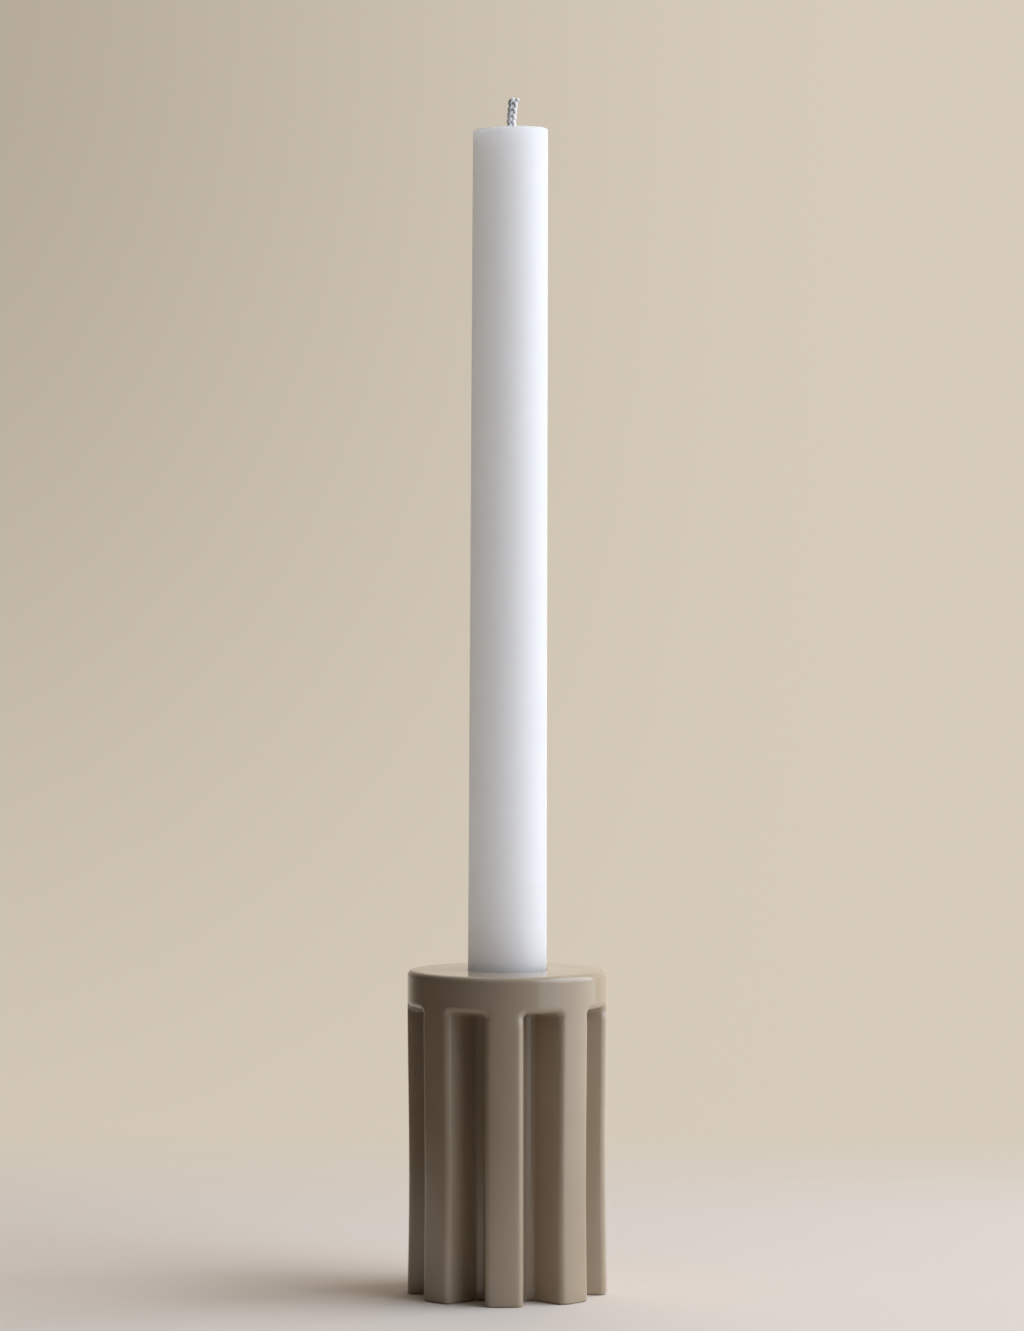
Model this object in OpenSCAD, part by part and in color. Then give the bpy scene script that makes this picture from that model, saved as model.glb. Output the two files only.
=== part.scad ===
// Taper candle holder: a short column of glazed stoneware with deep flutes between its fins, cast
// as one piece, with a plain dinner candle standing in the socket in its top. Millimetres. The
// foot stands on z = 0, the axis is Z, and the front is towards -Y.

/* [Body] */
// Outer diameter, over the fins and the band
body_d = 56; // [52:0.5:80]
// Height of the stoneware, from the foot to the flat top
body_h = 90.5; // [70:0.5:140]
// Height of the plain band above the flutes
band_h = 10.2; // [7:0.1:20]
// Rounding of the top rim
rim_r = 1.7; // [0.5:0.1:2.5]
// Rounding of the outer edge of the foot
foot_r = 0.7; // [0.3:0.1:1.5]

/* [Flutes] */
// Number of flutes, with a fin between each two
flute_count = 8; // [6:1:10]
// Width of a fin across its outer face, before its edges are rounded
fin_w = 10.6; // [7:0.1:12]
// Diameter of the core that the fins stand on, across the bottoms of the flutes
core_d = 34.6; // [32:0.2:42]
// Rounding between a flute's bottom and its walls
root_r = 1.0; // [0.3:0.1:1.5]
// Rounding of the edges round the mouth of each flute
lip_r = 1.6; // [0.6:0.1:2]
// Turn of the front fin away from the -Y direction, clockwise seen from above, in degrees
front_turn = 2; // [-22.5:0.1:22.5]

/* [Socket] */
// Depth of the socket below the flat top
socket_depth = 15.5; // [10:0.5:25]
// Gap all round between the socket and the foot of the candle
socket_gap = 0.25; // [0.1:0.05:0.6]
// Rounding of the socket's mouth
mouth_r = 0.6; // [0.2:0.1:1.2]

/* [Underside] */
// Diameter of the shallow recess that leaves a ring to stand on
recess_d = 28; // [16:0.5:32]
// Depth of that recess
recess_depth = 1.5; // [0.5:0.1:4]
// Rounding in the corner of the recess
recess_r = 1.0; // [0.2:0.1:1.5]

/* [Candle] */
// Diameter of the candle at its foot
candle_d = 22; // [18:0.1:25]
// Diameter of the candle at its top
candle_top_d = 20.9; // [15:0.1:25]
// Length of the candle
candle_l = 250; // [120:1:300]
// Rounding of the candle's top edge
candle_edge_r = 0.7; // [0.3:0.1:2]
// Lean of the candle in the loose fit of its socket, towards +X, in degrees
candle_lean = 0.25; // [0:0.05:0.4]

/* [Wick] */
// Width of the flat braid
wick_w = 2.6; // [1.5:0.1:4]
// Thickness of the flat braid
wick_t = 1.3; // [0.8:0.1:1.4]
// Length of the wick above the candle
wick_free = 9; // [5:0.5:15]
// Length of straight wick above the wax, before it bends
wick_rise = 1; // [0.5:0.1:2]
// Angle through which the rest of the free end bends, towards +X, in degrees
wick_bend = 6; // [1:1:20]

/* [Hidden] */
$fn = 96;

body_r = body_d / 2;
core_r = core_d / 2;
flute_top = body_h - band_h;
flute_step = 360 / flute_count;
socket_floor = body_h - socket_depth;
socket_r = candle_d / 2 + socket_gap;
// How far a rounding reaches past the faces it joins, so that it crosses them cleanly
blend = 0.002;
// How far a cut runs past the face it opens, and a leaning piece past the face it is trimmed to
overcut = 1;

// In the plan of a flute, +Y runs outwards along its middle. Its right wall runs along a fin, and
// a point is given by its distance along that fin's middle and its distance to the fin's side.
fin_along = [sin(flute_step / 2), cos(flute_step / 2)];
fin_aside = [-cos(flute_step / 2), sin(flute_step / 2)];

// The rounding at the bottom touches the core and the wall. In a flute that is too narrow there
// for the wanted rounding, it is a little less than the room between the two walls.
root_room = (core_r * sin(flute_step / 2) - fin_w / 2) / (1 - sin(flute_step / 2));
root_room_share = 0.9;
flute_root_r = min(root_r, root_room_share * root_room);
root_along = sqrt((core_r + flute_root_r) ^ 2 - (fin_w / 2 + flute_root_r) ^ 2);
root_centre = root_along * fin_along + (fin_w / 2 + flute_root_r) * fin_aside;
root_wall = root_centre - flute_root_r * fin_aside;
root_core = root_centre * core_r / (core_r + flute_root_r);

// The lip is an arc inside the fin that touches both the wall and the outer face.
lip_along = sqrt((body_r - lip_r) ^ 2 - (fin_w / 2 - lip_r) ^ 2);
lip_centre = lip_along * fin_along + (fin_w / 2 - lip_r) * fin_aside;
lip_wall = lip_centre + lip_r * fin_aside;
lip_face = lip_centre * (body_r + 2 * overcut) / (body_r - lip_r);

// The candle's side tapers, and the arc of its top edge touches the side and the flat top.
candle_taper = atan((candle_d - candle_top_d) / 2 / candle_l);
candle_cut_r = candle_d / 2 + overcut * tan(candle_taper);
candle_side = [cos(candle_taper), sin(candle_taper)];
candle_edge = [
    candle_top_d / 2 + candle_edge_r * (tan(candle_taper) - 1 / cos(candle_taper)),
    candle_l - candle_edge_r
];

// Half profile of a round block from z = 0 to h, with its bottom and top outer edges rounded
module round_profile(r, h, bottom_r, top_r) {
    translate([0, bottom_r]) square([r, h - bottom_r - top_r]);
    square([r - bottom_r, bottom_r]);
    translate([0, h - top_r]) square([r - top_r, top_r]);
    translate([r - bottom_r, bottom_r]) circle(bottom_r);
    translate([r - top_r, h - top_r]) circle(top_r);
}

// Plan of what one flute takes away, with its mouth open past the outer face
module flute_plan() {
    half = [root_core, root_centre, root_wall, lip_wall, lip_centre, lip_face];
    for (side = [-1, 1]) translate([side * root_centre.x, root_centre.y]) circle(flute_root_r + blend);
    difference() {
        polygon(concat(half, [for (i = [5 : -1 : 0]) [-half[i].x, half[i].y]]));
        circle(core_r);
        for (side = [-1, 1]) translate([side * lip_centre.x, lip_centre.y]) circle(lip_r + blend);
    }
}

// Half profile of what the band keeps, with a lip round its lower edge
module band_profile() {
    translate([0, flute_top]) square([body_r - lip_r, band_h]);
    translate([body_r - lip_r, flute_top + lip_r]) circle(lip_r + blend);
    translate([0, flute_top + lip_r]) square([body_r + 2 * overcut, band_h]);
}

// All the flutes, cut up into the band as far as the rounding of its lower edge
module flutes() {
    difference() {
        translate([0, 0, -overcut]) linear_extrude(flute_top + lip_r + 2 * overcut)
            for (i = [0 : flute_count - 1])
                rotate(180 - front_turn + (i + 0.5) * flute_step) flute_plan();
        rotate_extrude() band_profile();
    }
}

// Straight socket with a rounded mouth
module socket() {
    translate([0, 0, socket_floor]) cylinder(r = socket_r, h = socket_depth + overcut);
    translate([0, 0, body_h - mouth_r]) rotate_extrude() difference() {
        square([socket_r + mouth_r, mouth_r + overcut]);
        translate([socket_r + mouth_r, 0]) circle(mouth_r);
    }
}

// Shallow dish in the underside, so that the piece stands on a ring and on its fins
module recess() {
    translate([0, 0, -overcut]) rotate_extrude()
        round_profile(recess_d / 2, recess_depth + overcut, overcut / 2, min(recess_r, recess_depth));
}

module holder() {
    color([0.60, 0.55, 0.47]) difference() {
        rotate_extrude() round_profile(body_r, body_h, foot_r, rim_r);
        flutes();
        socket();
        recess();
    }
}

// Stands a shape on the socket's floor with the candle's lean, trimmed flat where it rests
module standing_in_socket() {
    difference() {
        translate([0, 0, socket_floor]) rotate([0, candle_lean, 0]) children();
        translate([0, 0, socket_floor - 2 * overcut])
            cylinder(r = candle_d / 2 + overcut, h = 2 * overcut);
    }
}

// Section of the flat braid, rounded at both edges
module wick_section() {
    square([wick_w - wick_t, wick_t], center = true);
    for (side = [-1, 1]) translate([side * (wick_w - wick_t) / 2, 0]) circle(d = wick_t);
}

module candle() {
    color([0.93, 0.92, 0.94]) standing_in_socket() difference() {
        rotate_extrude() {
            polygon([
                [0, -overcut], [candle_cut_r, -overcut], candle_edge + candle_edge_r * candle_side,
                [candle_edge.x, candle_l], [0, candle_l]
            ]);
            translate(candle_edge) circle(candle_edge_r);
        }
        translate([0, 0, -2 * overcut]) linear_extrude(candle_l + 3 * overcut) wick_section();
    }
}

// The wick is cast in the wax over its whole length, and bends a little where it stands free
module wick() {
    bend_r = (wick_free - wick_rise) * 180 / (PI * wick_bend);
    color([0.86, 0.84, 0.80]) standing_in_socket() {
        translate([0, 0, -overcut])
            linear_extrude(candle_l + wick_rise + overcut) wick_section();
        translate([bend_r, 0, candle_l + wick_rise]) mirror([1, 0, 0]) rotate([90, 0, 0])
            rotate_extrude(angle = wick_bend) translate([bend_r, 0]) wick_section();
    }
}

holder();
candle();
wick();
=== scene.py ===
import math

import bpy
import numpy as np
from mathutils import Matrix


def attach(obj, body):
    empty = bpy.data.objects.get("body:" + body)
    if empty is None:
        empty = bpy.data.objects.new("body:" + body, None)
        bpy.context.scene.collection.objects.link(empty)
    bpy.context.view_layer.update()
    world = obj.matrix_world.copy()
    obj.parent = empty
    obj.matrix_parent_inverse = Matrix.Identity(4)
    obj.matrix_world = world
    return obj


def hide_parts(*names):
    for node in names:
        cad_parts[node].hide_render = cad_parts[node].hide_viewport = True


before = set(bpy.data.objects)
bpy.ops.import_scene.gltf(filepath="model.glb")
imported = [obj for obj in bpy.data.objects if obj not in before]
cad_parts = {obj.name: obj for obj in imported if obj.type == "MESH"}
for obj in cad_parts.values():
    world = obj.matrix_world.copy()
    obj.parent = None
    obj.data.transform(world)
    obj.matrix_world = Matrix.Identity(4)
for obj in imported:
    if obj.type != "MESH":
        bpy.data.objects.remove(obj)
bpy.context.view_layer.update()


# Holder
# A short column of cast stoneware, one piece: eight fins with deep flutes between them run up
# from the foot to a plain band, and the candle stands in a socket in its top. The glossy glaze
# has softened every edge, and the mould has left the fins a little waisted.

MM = 0.001  # sizes are in millimetres, and become metres as a mesh or a pattern is made

BODY_R = 28.0
BODY_H = 90.5
FLUTE_TOP = 80.3
FLUTES = 8
FRONT_TURN = math.radians(2.0)  # the front fin stands this far clockwise of -Y, seen from above
FIN_W = 10.6
CORE_R = 17.3
ROOT_R = 0.8  # between the bottom of a flute and its walls
LIP_R = 1.6  # along the edges of the fins
TOP_LIP_R = 2.0  # along the flutes' square top edge
TOP_LIP_FROM = 3.0  # how far below that edge the lip begins to widen
TOP_LIP_OVER = 2.6  # and over what height it does
CEILING_FILLET = 1.3  # between the flute's top and its walls, which rounds the opening's corners
CEILING_SLOPE = math.radians(3)  # the flute's top rises outwards, so that the mould lets go
FOOT_R = 0.7
RIM_R = 1.6
WAIST = 0.42  # how far the fins bow inwards, at WAIST_Z
WAIST_Z = 33.0
SOCKET_R = 11.12
SOCKET_FLOOR = 75.0
SOCKET_CORNER_R = 0.8
MOUTH_R = 0.3
RECESS_R = 14.0
RECESS_DEPTH = 1.5
RECESS_CORNER_R = 1.0
RECESS_EDGE_R = 0.12
LEAST_R, MOST_R = 16.0, 29.0  # the outer surface lies between these everywhere
HALVINGS = 40  # of that interval, to find the surface


def meet(a, b, r):
    """Distance from the solid left by two cuts, with the edge between them rounded by about r."""
    return np.minimum(np.maximum(a, b), -r) + np.hypot(np.maximum(a + r, 0), np.maximum(b + r, 0))


def ease(t):
    """Runs from 0 to 1 as t does, without a kink at either end."""
    return t ** 2 * (3 - 2 * t)


def outer_radius(z):
    """Radius of the fins' outer faces at height z, with the waist that the casting shows."""
    t = np.clip(z / FLUTE_TOP, 0, 1)
    power = math.log(0.5) / math.log(WAIST_Z / FLUTE_TOP)
    return BODY_R - WAIST * np.sin(math.pi * t ** power) ** 1.5


def stoneware(r, angle, z):
    """Below zero inside the stoneware, above it outside. angle runs from the middle of a flute."""
    half = math.pi / FLUTES
    walls = FIN_W / 2 - r * np.sin(half - np.abs(angle))
    ceiling = (z - FLUTE_TOP + (BODY_R - r) * math.tan(CEILING_SLOPE)) * math.cos(CEILING_SLOPE)
    flute = meet(meet(walls, CORE_R - r, ROOT_R), ceiling, CEILING_FILLET)
    near_top = np.clip((z - FLUTE_TOP + TOP_LIP_FROM) / TOP_LIP_OVER, 0, 1)
    lip = LIP_R + (TOP_LIP_R - LIP_R) * ease(near_top)
    return meet(meet(r - outer_radius(z), -flute, lip), -z, FOOT_R)


def surface_radius(angle, z):
    """Radius at which the stoneware's outer surface lies, found by halving the interval."""
    points = np.broadcast(angle, z).shape
    low, high = np.full(points, LEAST_R), np.full(points, MOST_R)
    for _ in range(HALVINGS):
        mid = (low + high) / 2
        inside = stoneware(mid, angle, z) < 0
        low, high = np.where(inside, mid, low), np.where(inside, high, mid)
    return (low + high) / 2


def skin_rings(name, rings, closed_start, closed_end):
    """Mesh over rings of points that all have the same number of points, in millimetres."""
    n = len(rings[0])
    points = [tuple(p) for ring in rings for p in ring]
    faces = [
        (k * n + i, k * n + (i + 1) % n, (k + 1) * n + (i + 1) % n, (k + 1) * n + i)
        for k in range(len(rings) - 1)
        for i in range(n)
    ]
    for end, wanted, flip in ((0, closed_start, True), (len(rings) - 1, closed_end, False)):
        if wanted:
            centre = len(points)
            points.append(tuple(np.mean(rings[end], axis=0)))
            for i in range(n):
                a, b = end * n + i, end * n + (i + 1) % n
                faces.append((centre, b, a) if flip else (centre, a, b))
    mesh = bpy.data.meshes.new(name)
    mesh.from_pydata([(x * MM, y * MM, z * MM) for x, y, z in points], [], faces)
    mesh.validate()
    mesh.polygons.foreach_set("use_smooth", [True] * len(mesh.polygons))
    mesh.update()
    piece = bpy.data.objects.new(name, mesh)
    bpy.context.scene.collection.objects.link(piece)
    return piece


def plan_angles(centre_r, centre_angle, r, start, end, steps):
    """Angles from the holder's axis of points on an arc in plan, start and end in degrees."""
    turns = centre_angle + np.radians(np.linspace(start, end, steps))
    x = centre_r * math.sin(centre_angle) + r * np.sin(turns)
    y = centre_r * math.cos(centre_angle) + r * np.cos(turns)
    return np.degrees(np.arctan2(x, y))


# Columns crowd together at the lips and in the flute's corners, where the surface turns fast.
half_step = math.pi / FLUTES
lip_at = half_step - math.asin((FIN_W / 2 - LIP_R) / (BODY_R - LIP_R))
root_at = half_step - math.asin((FIN_W / 2 + ROOT_R) / (CORE_R + ROOT_R))
lip_columns = np.sort(plan_angles(BODY_R - LIP_R, lip_at, LIP_R, -78, 0, 12))
root_columns = plan_angles(CORE_R + ROOT_R, root_at, ROOT_R, 180, 95, 8)
half_columns = np.concatenate([
    np.linspace(0, root_columns[0], 3)[:-1], root_columns,
    np.linspace(root_columns[-1], lip_columns[0], 6)[1:-1], lip_columns,
    np.linspace(lip_columns[-1], 180 / FLUTES, 6)[1:-1],
])
columns = np.radians(np.concatenate([-half_columns[:0:-1], half_columns, [180 / FLUTES]]))
flute_angle = np.tile(columns, FLUTES)
flute_middle = np.repeat(np.arange(FLUTES) + 0.5, len(columns)) * 2 * math.pi / FLUTES
turn = flute_middle + flute_angle - FRONT_TURN  # from -Y, anticlockwise seen from above
across, forward = np.sin(turn), -np.cos(turn)


def holder_ring(radius, z):
    """One row of the holder's mesh. radius is one number, or one for each column."""
    radius = np.broadcast_to(radius, across.shape)
    return np.stack([radius * across, radius * forward, np.full(across.shape, float(z))], axis=1)


def arc(centre_r, centre_z, r, start, end, steps):
    """Points on a rounding's half profile, angles in degrees from straight out."""
    return [
        (centre_r + r * math.cos(math.radians(a)), centre_z + r * math.sin(math.radians(a)))
        for a in np.linspace(start, end, steps)
    ]


# Rows run out under the foot, up the flutes, over the rim and down into the socket. They are
# closest where the flutes end below the band.
FOOT_ROWS = (0.35, 0.75, 0.95)  # as shares of the way out from the recess to the edge
WIDE_TO, CLOSE_FROM, CLOSEST_FROM, CLOSEST_TO = 75, 75.6, 77.6, 82.4  # their heights
CLOSE_STEP, CLOSEST_STEP = 0.4, 0.11
BAND_ROWS = [83.4, 85, 87, 88.5, 88.75]
TOP_ROWS = (24, 19, 15)  # their radii

profile = [(0.5, RECESS_DEPTH), (6, RECESS_DEPTH)]
profile += arc(
    RECESS_R - RECESS_CORNER_R, RECESS_DEPTH - RECESS_CORNER_R, RECESS_CORNER_R, 90, 0, 6,
)
profile += [(RECESS_R, RECESS_EDGE_R)]
profile += arc(RECESS_R + RECESS_EDGE_R, RECESS_EDGE_R, RECESS_EDGE_R, 180, 270, 3)
rows = [holder_ring(r, z) for r, z in profile]

foot_inner = RECESS_R + RECESS_EDGE_R
foot_outer = surface_radius(flute_angle, np.zeros(len(flute_angle)))
for share in FOOT_ROWS:
    rows.append(holder_ring(foot_inner + (foot_outer - foot_inner) * share, 0))

outside = [FOOT_R * (1 - math.cos(a)) for a in np.linspace(0, math.pi / 2, 6)]
outside += list(np.linspace(FOOT_R, WIDE_TO, 26)[1:])
outside += list(np.arange(CLOSE_FROM, CLOSEST_FROM, CLOSE_STEP))
outside += list(np.arange(CLOSEST_FROM, CLOSEST_TO, CLOSEST_STEP)) + BAND_ROWS
for z in outside:
    rows.append(holder_ring(surface_radius(flute_angle, np.full(len(flute_angle), z)), z))

profile = arc(BODY_R - RIM_R, BODY_H - RIM_R, RIM_R, 0, 90, 9)
profile += [(r, BODY_H) for r in (*TOP_ROWS, SOCKET_R + MOUTH_R + 0.3)]
profile += arc(SOCKET_R + MOUTH_R, BODY_H - MOUTH_R, MOUTH_R, 90, 180, 6)
profile += [(SOCKET_R, 84), (SOCKET_R, SOCKET_FLOOR + SOCKET_CORNER_R)]
profile += arc(
    SOCKET_R - SOCKET_CORNER_R, SOCKET_FLOOR + SOCKET_CORNER_R, SOCKET_CORNER_R, 0, -90, 5,
)
profile += [(5, SOCKET_FLOOR)]
rows += [holder_ring(r, z) for r, z in profile]
holder = skin_rings("holder_stoneware", rows, closed_start=True, closed_end=True)


def srgb(code):
    """Linear colour from a written one such as "A79A86"."""
    parts = [int(code[i:i + 2], 16) / 255 for i in (0, 2, 4)]
    return [c / 12.92 if c <= 0.04045 else ((c + 0.055) / 1.055) ** 2.4 for c in parts] + [1.0]


def add(tree, kind, links=None, **settings):
    """Adds a node. Settings name its properties or inputs, and links its inputs' sources."""
    node = tree.nodes.new(kind)
    for key, value in settings.items():
        if hasattr(node, key):
            setattr(node, key, value)
        else:
            node.inputs[key.replace("_", " ")].default_value = value
    for key, source in (links or {}).items():
        tree.links.new(source, node.inputs[key])
    return node


def new_material(name):
    """An empty material and its node tree."""
    material = bpy.data.materials.new(name)
    material.use_nodes = True
    material.node_tree.nodes.clear()
    return material, material.node_tree


# Glazed stoneware: a glossy feldspar glaze, dipped over a buff clay. Its tone drifts a little
# over the piece, and its skin has slow waves, which bend the edges of what it reflects, and a
# faint orange peel.
GLAZE_CLOUD = 18.0  # from one paler patch, or wave, to the next
GLAZE_PEEL = 0.7  # and from one dimple of its skin to the next

glaze, tree = new_material("glazed stoneware")
where = add(tree, "ShaderNodeTexCoord")
cloud = add(
    tree, "ShaderNodeTexNoise", {"Vector": where.outputs["Object"]},
    Scale=1 / (GLAZE_CLOUD * MM), Detail=3.0,
)
peel = add(
    tree, "ShaderNodeTexNoise", {"Vector": where.outputs["Object"]},
    Scale=1 / (GLAZE_PEEL * MM), Detail=2.0,
)
tone = add(tree, "ShaderNodeMix", {"Factor": cloud.outputs["Fac"]}, data_type="RGBA")
tone.inputs["A"].default_value = srgb("AC9880")
tone.inputs["B"].default_value = srgb("B4A088")
waves = add(
    tree, "ShaderNodeBump", {"Height": cloud.outputs["Fac"]}, Strength=0.12, Distance=0.6 * MM,
)
skin = add(
    tree, "ShaderNodeBump", {"Height": peel.outputs["Fac"], "Normal": waves.outputs["Normal"]},
    Strength=0.015, Distance=0.1 * MM,
)
shell = add(
    tree, "ShaderNodeBsdfPrincipled",
    {"Base Color": tone.outputs["Result"], "Normal": skin.outputs["Normal"]},
    Roughness=0.07, IOR=1.54,
)
add(tree, "ShaderNodeOutputMaterial", {"Surface": shell.outputs["BSDF"]})
holder.data.materials.append(glaze)
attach(holder, "root")
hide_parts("holder")


# Candle
# A plain straight dinner candle of paraffin wax, drawn to a slight taper and cut off flat at
# both ends. It stands in the socket with a hair of play, so it leans very slightly.

CANDLE_R = 11.0
CANDLE_TOP_R = 10.45
CANDLE_L = 250.0
CANDLE_EDGE_R = 0.7
CANDLE_LEAN = math.radians(0.22)
CANDLE_X = -0.1  # it stands a hair to the left in its socket
TOP_TILT = math.radians(1.6)  # the cut at the top isn't quite square
TOP_TILT_OVER = 12.0  # the rows of the mesh turn to that cut over this height
FOOT_CLEARANCE = 0.02  # over the socket's floor, so that the two surfaces don't coincide
CANDLE_SIDES = 96

sides = np.linspace(0, 2 * math.pi, CANDLE_SIDES, endpoint=False)


def lean(points):
    """Stands points measured along the candle's axis on the socket's floor, with the lean."""
    x, y, z = points.T
    c, s = math.cos(CANDLE_LEAN), math.sin(CANDLE_LEAN)
    height = np.maximum(z * c - x * s, FOOT_CLEARANCE) + SOCKET_FLOOR
    return np.stack([x * c + z * s + CANDLE_X, y, height], axis=1)


def candle_ring(radius, z):
    """One row of the candle's mesh. Drawn wax is out of round by about a hundredth of a mm."""
    wobble = 1 + 0.0012 * np.sin(2 * sides + z * 0.013) + 0.0008 * np.sin(3 * sides - z * 0.021)
    tilt = math.tan(TOP_TILT) * max(0.0, (z - CANDLE_L + TOP_TILT_OVER) / TOP_TILT_OVER)
    x, y = radius * wobble * np.cos(sides), radius * wobble * np.sin(sides)
    return lean(np.stack([x, y, z + x * tilt], axis=1))


rows = [candle_ring(r, 0.03) for r in (4, 8, CANDLE_R - 0.5)]
rows += [candle_ring(CANDLE_R - 0.12, 0.2)]
# Up the side, the rows are closer together where they turn to the cut.
for z in [*np.linspace(0.6, CANDLE_L - 14, 40), *np.linspace(CANDLE_L - 13, CANDLE_L - 1.2, 8)]:
    rows.append(candle_ring(CANDLE_R + (CANDLE_TOP_R - CANDLE_R) * z / CANDLE_L, z))
top_edge = arc(CANDLE_TOP_R - CANDLE_EDGE_R, CANDLE_L - CANDLE_EDGE_R, CANDLE_EDGE_R, 8, 90, 7)
rows += [candle_ring(r, z) for r, z in top_edge]
# The wax creeps up the wick where it set round it.
creep = ((7, 0), (4, 0.02), (2.4, 0.15), (1.2, 0.5))
rows += [candle_ring(r, CANDLE_L + up) for r, up in creep]
candle = skin_rings("candle_wax", rows, closed_start=True, closed_end=True)

# Paraffin wax, drawn and not polished: white, with a dull skin and a fine bloom. Light crosses
# the whole candle, so the scattering distance is long against its 22 mm, and the side away from
# the lamps glows.
BLOOM = 6.25  # from one patch to the next
WAX_REACH = 200.0  # matched to the look of the candle, and not a measured property of wax

wax, tree = new_material("paraffin wax")
where = add(tree, "ShaderNodeTexCoord")
bloom = add(
    tree, "ShaderNodeTexNoise", {"Vector": where.outputs["Object"]},
    Scale=1 / (BLOOM * MM), Detail=4.0,
)
tone = add(tree, "ShaderNodeMix", {"Factor": bloom.outputs["Fac"]}, data_type="RGBA")
tone.inputs["A"].default_value = srgb("D8D8E1")
tone.inputs["B"].default_value = srgb("DDDDE6")
bump = add(
    tree, "ShaderNodeBump", {"Height": bloom.outputs["Fac"]}, Strength=0.15, Distance=0.3 * MM,
)
body = add(
    tree, "ShaderNodeBsdfPrincipled",
    {"Base Color": tone.outputs["Result"], "Normal": bump.outputs["Normal"]},
    Roughness=0.55, IOR=1.44, Subsurface_Weight=0.85, Subsurface_Scale=WAX_REACH * MM,
)
body.inputs["Subsurface Radius"].default_value = (1.0, 0.95, 0.9)
add(tree, "ShaderNodeOutputMaterial", {"Surface": body.outputs["BSDF"]})
candle.data.materials.append(wax)
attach(candle, "root")
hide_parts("candle")


# Wick
# A flat plait of three cotton strands, waxed, cast down the middle of the candle. Its free end
# was cut with shears, so the strands spread a little at the tip.

WICK_FREE = 8.6
WICK_START = 2.0  # above the candle's foot
WICK_HALF_W = 0.7  # how far a strand's middle swings to each side
WICK_HALF_T = 0.32  # and to the front and the back, where strands cross
WICK_X = 0.25  # the wick stands this far to the right of the candle's axis
WICK_BEND = 0.7  # how far its tip leans to the right
PLAIT_PITCH = 5.2
STRAND_R = 0.6
STRAND_SIDES = 12
YARN_PITCH = 2.6
LOOSEN = 0.1  # share by which the plait widens up to its tip
FRAY = 0.4  # and by which it spreads more at the tip itself
FRAY_FROM, FRAY_OVER = 0.8, 0.2  # where that comes, as shares of WICK_FREE
YARN_SWELL = 0.05  # how far the yarns stand out of a strand, as a share of STRAND_R
FINE_FROM = 8.0  # rows are close together from this far below the candle's top
WIDE_STEP, FINE_STEP = 0.5, 0.16


def strand(k):
    """Rings of points round one strand, from the candle's foot to the tip."""
    buried = np.arange(WICK_START, CANDLE_L - FINE_FROM, WIDE_STEP)
    fine = np.arange(CANDLE_L - FINE_FROM, CANDLE_L + WICK_FREE, FINE_STEP)
    t = np.concatenate([buried, fine])
    phase = 2 * math.pi * ((t - CANDLE_L - WICK_FREE) / PLAIT_PITCH + k / 3)
    free = np.clip((t - CANDLE_L) / WICK_FREE, 0, 1)
    frayed = np.clip((free - FRAY_FROM) / FRAY_OVER, 0, 1)
    spread = 1 + LOOSEN * free + FRAY * frayed ** 1.5
    x = WICK_HALF_W * spread * np.sin(phase) + WICK_BEND * free ** 2 + WICK_X
    y = WICK_HALF_T * spread * np.sin(2 * phase)
    line = np.stack([x, y, t], axis=1)
    along = np.gradient(line, axis=0)
    along /= np.linalg.norm(along, axis=1)[:, None]
    side = np.cross(along, [0, 1.0, 0])
    side /= np.linalg.norm(side, axis=1)[:, None]
    up = np.cross(side, along)
    turns = np.linspace(0, 2 * math.pi, STRAND_SIDES, endpoint=False)
    rings = []
    for i in range(len(t)):
        # Three yarns twist round each other in a strand.
        swell = np.cos(3 * turns + 2 * math.pi * t[i] / YARN_PITCH)
        r = STRAND_R * (1 + YARN_SWELL * swell)
        p = line[i] + np.outer(np.cos(turns) * r, side[i]) + np.outer(np.sin(turns) * r, up[i])
        rings.append(lean(p))
    return rings


strands = [skin_rings(f"wick_strand_{k + 1}", strand(k), True, True) for k in range(3)]

# Braided cotton, waxed: off-white matt fibre, a little grey where the wax has not filled it.
# Single fibres are too fine to show, so the pattern is drawn at the size of a tuft.
TUFT = 1.11

cotton, tree = new_material("braided cotton")
where = add(tree, "ShaderNodeTexCoord")
fibre = add(
    tree, "ShaderNodeTexNoise", {"Vector": where.outputs["Object"]},
    Scale=1 / (TUFT * MM), Detail=2.0,
)
tone = add(tree, "ShaderNodeMix", {"Factor": fibre.outputs["Fac"]}, data_type="RGBA")
tone.inputs["A"].default_value = srgb("E4DBD5")
tone.inputs["B"].default_value = srgb("FCF7F3")
bump = add(
    tree, "ShaderNodeBump", {"Height": fibre.outputs["Fac"]}, Strength=0.3, Distance=0.1 * MM,
)
yarn = add(
    tree, "ShaderNodeBsdfPrincipled",
    {"Base Color": tone.outputs["Result"], "Normal": bump.outputs["Normal"]},
    Roughness=0.6, IOR=1.47,
)
add(tree, "ShaderNodeOutputMaterial", {"Surface": yarn.outputs["BSDF"]})
for piece in strands:
    piece.data.materials.append(cotton)
    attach(piece, "root")
    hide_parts("wick")


# Floor
# A pale matt table top that fades into the backdrop all round, and sooner behind the holder. It
# lies a hair below the foot, so that the two surfaces don't coincide.

FLOOR_R = 1000.0
FLOOR_CENTRE = (30.0, 80.0, -0.03)
FADE_ROUND = (200.0, 440.0)  # from full to gone, measured from the floor's centre
FADE_BEHIND = (50.0, 320.0)  # and measured straight back from it

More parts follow.
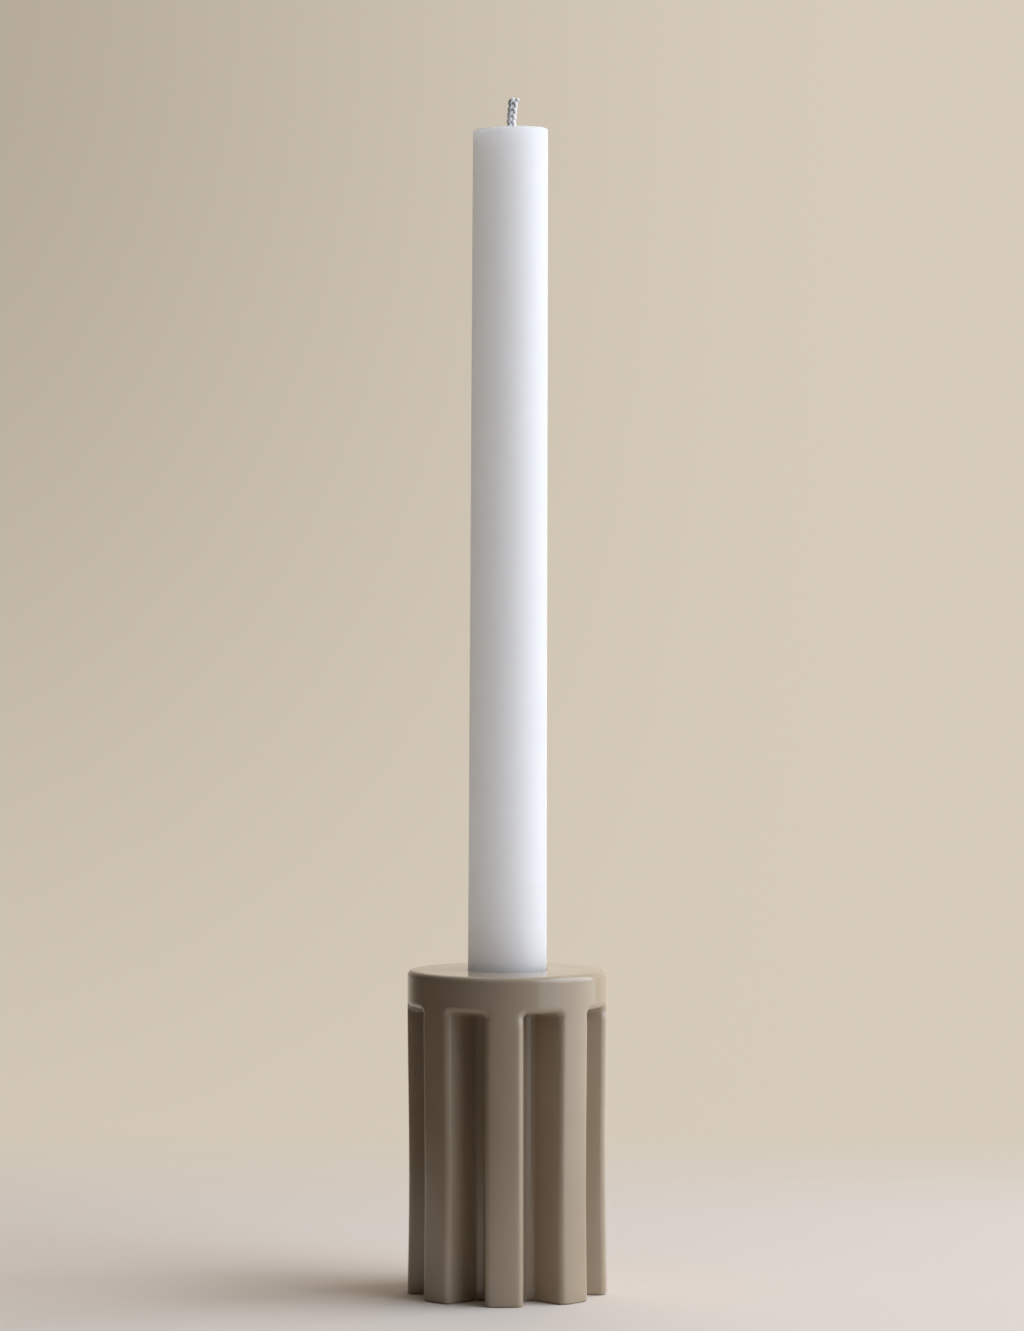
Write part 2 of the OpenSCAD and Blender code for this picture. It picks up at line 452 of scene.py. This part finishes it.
bpy.ops.mesh.primitive_circle_add(
    vertices=96, radius=FLOOR_R * MM, fill_type="NGON",
    location=[c * MM for c in FLOOR_CENTRE],
)
floor = bpy.context.object
floor.name = "floor"
table, tree = new_material("matt table top")
where = add(tree, "ShaderNodeTexCoord")
far = add(tree, "ShaderNodeVectorMath", {0: where.outputs["Object"]}, operation="LENGTH")
fade_round = add(
    tree, "ShaderNodeMapRange", {"Value": far.outputs["Value"]}, interpolation_type="SMOOTHSTEP",
    From_Min=FADE_ROUND[0] * MM, From_Max=FADE_ROUND[1] * MM,
)
depth = add(tree, "ShaderNodeSeparateXYZ", {"Vector": where.outputs["Object"]})
fade_behind = add(
    tree, "ShaderNodeMapRange", {"Value": depth.outputs["Y"]}, interpolation_type="SMOOTHSTEP",
    From_Min=FADE_BEHIND[0] * MM, From_Max=FADE_BEHIND[1] * MM,
)
fade = add(
    tree, "ShaderNodeMath",
    {0: fade_round.outputs["Result"], 1: fade_behind.outputs["Result"]}, operation="MAXIMUM",
)
# The camera, and whatever reflects or is clear, sees the pale top. It throws a little less light
# up into the flutes than that colour would.
ray = add(tree, "ShaderNodeLightPath")
seen = add(
    tree, "ShaderNodeMath",
    {0: ray.outputs["Is Camera Ray"], 1: ray.outputs["Is Glossy Ray"]}, operation="MAXIMUM",
)
shown = add(
    tree, "ShaderNodeMath",
    {0: seen.outputs["Value"], 1: ray.outputs["Is Transmission Ray"]}, operation="MAXIMUM",
)
top = add(tree, "ShaderNodeMix", {"Factor": shown.outputs["Value"]}, data_type="RGBA")
top.inputs["A"].default_value = srgb("D3CABF")
top.inputs["B"].default_value = srgb("EBDED2")
matt = add(tree, "ShaderNodeBsdfDiffuse", {"Color": top.outputs["Result"]})
clear = add(tree, "ShaderNodeBsdfTransparent")
faded = add(
    tree, "ShaderNodeMixShader",
    {0: fade.outputs["Value"], 1: matt.outputs["BSDF"], 2: clear.outputs["BSDF"]},
)
add(tree, "ShaderNodeOutputMaterial", {"Surface": faded.outputs["Shader"]})
floor.data.materials.append(table)


# Backdrop and lamps
# The backdrop is the world's own warm colour, so nothing stands in the way of a view from
# another side. Its darkening to the upper left, away from the lamps on the right, is painted
# shade. The lamps are softboxes and a low card on the right, one softbox overhead and one
# behind. Lamps and camera are placed in metres.

BRIGHT_SIDE = (0.4, 0.9, 0)  # behind the holder and to its right

world = bpy.data.worlds.new("studio")
world.use_nodes = True
bpy.context.scene.world = world
tree = world.node_tree
tree.nodes.clear()
where = add(tree, "ShaderNodeTexCoord")
axis = add(tree, "ShaderNodeSeparateXYZ", {"Vector": where.outputs["Generated"]})
# Painted shade on the backdrop: its colour is mixed towards a darker one to the upper left, the
# side away from the lamps.
leftward = add(
    tree, "ShaderNodeMapRange", {"Value": axis.outputs["X"]}, interpolation_type="SMOOTHSTEP",
    From_Min=0.08, From_Max=-0.16,
)
upward = add(
    tree, "ShaderNodeMapRange", {"Value": axis.outputs["Z"]}, interpolation_type="SMOOTHSTEP",
    From_Min=-0.19, From_Max=0.13,
)
backdrop_painted_shade = add(
    tree, "ShaderNodeMath", {0: leftward.outputs["Result"], 1: upward.outputs["Result"]},
    operation="MULTIPLY",
)
backdrop = add(tree, "ShaderNodeMix", {"Factor": backdrop_painted_shade.outputs["Value"]}, data_type="RGBA")
backdrop.inputs["A"].default_value = srgb("D6CBBA")
backdrop.inputs["B"].default_value = srgb("B2A797")

# What lights the object, and shows in its glaze, is the backdrop behind it and a dim studio in
# front. The camera sees the backdrop's colour as written, from every side.
facing = add(
    tree, "ShaderNodeVectorMath", {0: where.outputs["Generated"]}, operation="DOT_PRODUCT",
)
facing.inputs[1].default_value = BRIGHT_SIDE
behind = add(
    tree, "ShaderNodeMapRange", {"Value": facing.outputs["Value"]},
    interpolation_type="SMOOTHSTEP", From_Min=0.05, From_Max=0.85, To_Min=0.05, To_Max=1.2,
)
ray = add(tree, "ShaderNodeLightPath")
strength = add(
    tree, "ShaderNodeMix", {"Factor": ray.outputs["Is Camera Ray"], "A": behind.outputs["Result"]},
    B=1.0,
)
light = add(
    tree, "ShaderNodeBackground",
    {"Color": backdrop.outputs["Result"], "Strength": strength.outputs["Result"]},
)
add(tree, "ShaderNodeOutputWorld", {"Surface": light.outputs["Background"]})

LAMP_DISTANCE = 1.65  # from a point at AIM_HEIGHT on the holder's axis
AIM_HEIGHT = 0.1
DAYLIGHT, WARM = "E1EEFF", "FFFBF5"


def softbox(name, azimuth, elevation, width, tall, watts, colour):
    """A rectangular lamp aimed at the holder. azimuth 0 is the camera's side, 90 the right."""
    lamp = bpy.data.lights.new(name, "AREA")
    lamp.shape, lamp.size, lamp.size_y, lamp.energy = "RECTANGLE", width, tall, watts
    lamp.color = srgb(colour)[:3]
    placed = bpy.data.objects.new(name, lamp)
    bpy.context.scene.collection.objects.link(placed)
    a, e = math.radians(azimuth), math.radians(elevation)
    reach = LAMP_DISTANCE * math.cos(e)
    height = AIM_HEIGHT + LAMP_DISTANCE * math.sin(e)
    placed.location = (reach * math.sin(a), -reach * math.cos(a), height)
    placed.rotation_euler = (math.radians(90) - e, 0, a)


softbox("key softbox", 99.5, 27, 1.0, 1.95, 20.4, DAYLIGHT)
softbox("second softbox", 69, 27, 0.8, 1.95, 16.2, DAYLIGHT)
softbox("front softbox", 46, 27, 0.56, 1.95, 5.8, DAYLIGHT)
softbox("low card", 79, -12, 3.0, 0.5, 4.3, DAYLIGHT)
softbox("top softbox", 0, 90, 1.5, 1.5, 5.2, WARM)
softbox("rear softbox", 180, 52, 1.3, 0.8, 2, WARM)


# Camera
# A long lens at about 1.26 m, level with the candle's middle and tipped down a little.

SENSOR_W, LENS = 36, 121.98  # in millimetres
CAMERA_AT = (0.00129, -1.26, 0.1975)
CAMERA_DIP = 1  # degrees

camera_data = bpy.data.cameras.new("camera")
camera_data.sensor_width = SENSOR_W
camera_data.lens = LENS
camera = bpy.data.objects.new("camera", camera_data)
camera.location = CAMERA_AT
camera.rotation_euler = (math.radians(90 - CAMERA_DIP), 0, 0)
bpy.context.scene.collection.objects.link(camera)
bpy.context.scene.camera = camera
bpy.context.scene.view_settings.view_transform = "Standard"
